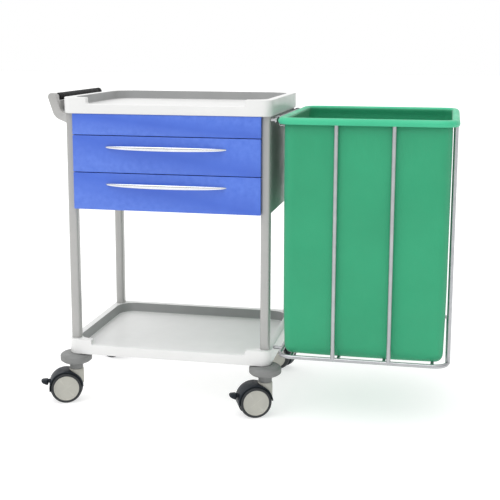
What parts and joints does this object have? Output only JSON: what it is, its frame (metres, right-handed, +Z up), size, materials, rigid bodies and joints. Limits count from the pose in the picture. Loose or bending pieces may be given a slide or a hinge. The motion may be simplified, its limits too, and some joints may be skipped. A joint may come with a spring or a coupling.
{
  "type": "medication cart",
  "caption": "Ward medication cart: two lipped trays on posts, drawer cabinet, push handle, twin-wheel casters and a hung wire basket with a lift-out bag.",
  "frame": {"origin": "on the floor under the middle of the whole cart's bounding box, handle and basket included", "axes": "+X to the right from the push handle towards the basket, +Y from the drawer fronts to the back, +Z up"},
  "size_m": [1.229, 0.56, 0.944],
  "materials": {
    "tray_white": "smooth moulded ABS, satin gloss",
    "post_grey": "light grey powder coat on round-edged tube",
    "cabinet_white": "powder-coated sheet steel",
    "front_blue": "blue satin coat",
    "handle_chrome": "polished",
    "slide_zinc": "zinc-plated",
    "grip_black": "matt rubber sleeve",
    "bumper_grey": "matt moulded",
    "housing_grey": "satin moulded nylon",
    "hood_black": "satin moulded nylon",
    "tread_black": "smooth tread",
    "basket_steel": "bright plated wire",
    "bag_green": "waterproof coated cloth"
  },
  "bodies": {
    "cart": {"upper_tray": "tray_white", "lower_tray": "tray_white", "post_front_left": "post_grey", "post_front_right": "post_grey", "post_back_left": "post_grey", "post_back_right": "post_grey", "handle_arm_front": "post_grey", "handle_arm_back": "post_grey", "handle_guard": "post_grey", "cabinet_side_left": "cabinet_white", "cabinet_side_right": "cabinet_white", "cabinet_back": "cabinet_white", "cabinet_floor": "cabinet_white", "fascia_panel": "front_blue", "handle_grip": "grip_black", "hanger_rail": "basket_steel", "slide_outer_upper_left": "slide_zinc", "slide_outer_upper_right": "slide_zinc", "slide_outer_lower_left": "slide_zinc", "slide_outer_lower_right": "slide_zinc", "caster_bumper_front_left": "bumper_grey", "caster_bumper_front_right": "bumper_grey", "caster_bumper_back_left": "bumper_grey", "caster_bumper_back_right": "bumper_grey"},
    "drawer_upper": {"drawer_front_upper": "front_blue", "drawer_box_upper": "cabinet_white", "drawer_handle_upper": "handle_chrome", "slide_inner_upper_left": "slide_zinc", "slide_inner_upper_right": "slide_zinc"},
    "drawer_lower": {"drawer_front_lower": "front_blue", "drawer_box_lower": "cabinet_white", "drawer_handle_lower": "handle_chrome", "slide_inner_lower_left": "slide_zinc", "slide_inner_lower_right": "slide_zinc"},
    "swivel_front_left": {"caster_fork_front_left": "housing_grey", "caster_hood_front_left": "hood_black"},
    "wheel_front_left": {"caster_wheel_front_left": "tread_black"},
    "brake_front_left": {"brake_pedal_front_left": "hood_black"},
    "swivel_front_right": {"caster_fork_front_right": "housing_grey", "caster_hood_front_right": "hood_black"},
    "wheel_front_right": {"caster_wheel_front_right": "tread_black"},
    "brake_front_right": {"brake_pedal_front_right": "hood_black"},
    "swivel_back_left": {"caster_fork_back_left": "housing_grey", "caster_hood_back_left": "hood_black"},
    "wheel_back_left": {"caster_wheel_back_left": "tread_black"},
    "swivel_back_right": {"caster_fork_back_right": "housing_grey", "caster_hood_back_right": "hood_black"},
    "wheel_back_right": {"caster_wheel_back_right": "tread_black"},
    "basket": {"basket_top_ring": "basket_steel", "basket_base": "basket_steel", "basket_wire_front_1": "basket_steel", "basket_wire_front_2": "basket_steel", "basket_wire_back_1": "basket_steel", "basket_wire_back_2": "basket_steel", "basket_wire_right_1": "basket_steel", "basket_wire_right_2": "basket_steel", "basket_wire_right_3": "basket_steel", "basket_wire_right_4": "basket_steel"},
    "bag": {"laundry_bag": "bag_green"}
  },
  "joints": [
    {"name": "drawer_upper_slide", "type": "slide", "parent": "cart", "child": "drawer_upper", "axis": [0, -1, 0], "range_m": [0, 0.3]},
    {"name": "drawer_lower_slide", "type": "slide", "parent": "cart", "child": "drawer_lower", "axis": [0, -1, 0], "range_m": [0, 0.3]},
    {"name": "caster_front_left_swivel", "type": "hinge", "parent": "cart", "child": "swivel_front_left", "pos_m": [-0.51346, -0.213, 0.103], "axis": [0, 0, 1], "continuous": true},
    {"name": "caster_front_left_roll", "type": "hinge", "parent": "swivel_front_left", "child": "wheel_front_left", "pos_m": [-0.54359, -0.22517, 0.0475], "axis": [0.3746, -0.9272, 0], "continuous": true},
    {"name": "brake_front_left_pedal", "type": "hinge", "parent": "swivel_front_left", "child": "brake_front_left", "pos_m": [-0.59116, -0.24439, 0.065], "axis": [0.3746, -0.9272, 0], "range_deg": [0, 18]},
    {"name": "caster_front_right_swivel", "type": "hinge", "parent": "cart", "child": "swivel_front_right", "pos_m": [0.07754, -0.213, 0.103], "axis": [0, 0, 1], "continuous": true},
    {"name": "caster_front_right_roll", "type": "hinge", "parent": "swivel_front_right", "child": "wheel_front_right", "pos_m": [0.04741, -0.22517, 0.0475], "axis": [0.3746, -0.9272, 0], "continuous": true},
    {"name": "brake_front_right_pedal", "type": "hinge", "parent": "swivel_front_right", "child": "brake_front_right", "pos_m": [-0.00016, -0.24439, 0.065], "axis": [0.3746, -0.9272, 0], "range_deg": [0, 18]},
    {"name": "caster_back_left_swivel", "type": "hinge", "parent": "cart", "child": "swivel_back_left", "pos_m": [-0.51346, 0.213, 0.103], "axis": [0, 0, 1], "continuous": true},
    {"name": "caster_back_left_roll", "type": "hinge", "parent": "swivel_back_left", "child": "wheel_back_left", "pos_m": [-0.544, 0.22412, 0.0475], "axis": [-0.342, -0.9397, 0], "continuous": true},
    {"name": "caster_back_right_swivel", "type": "hinge", "parent": "cart", "child": "swivel_back_right", "pos_m": [0.07754, 0.213, 0.103], "axis": [0, 0, 1], "continuous": true},
    {"name": "caster_back_right_roll", "type": "hinge", "parent": "swivel_back_right", "child": "wheel_back_right", "pos_m": [0.047, 0.22412, 0.0475], "axis": [-0.342, -0.9397, 0], "continuous": true},
    {"name": "basket_lift_off", "type": "slide", "parent": "cart", "child": "basket", "axis": [0, 0, 1], "range_m": [0, 0.06]},
    {"name": "bag_lift_out", "type": "slide", "parent": "basket", "child": "bag", "axis": [0, 0, 1], "range_m": [0, 0.25]}
  ]
}
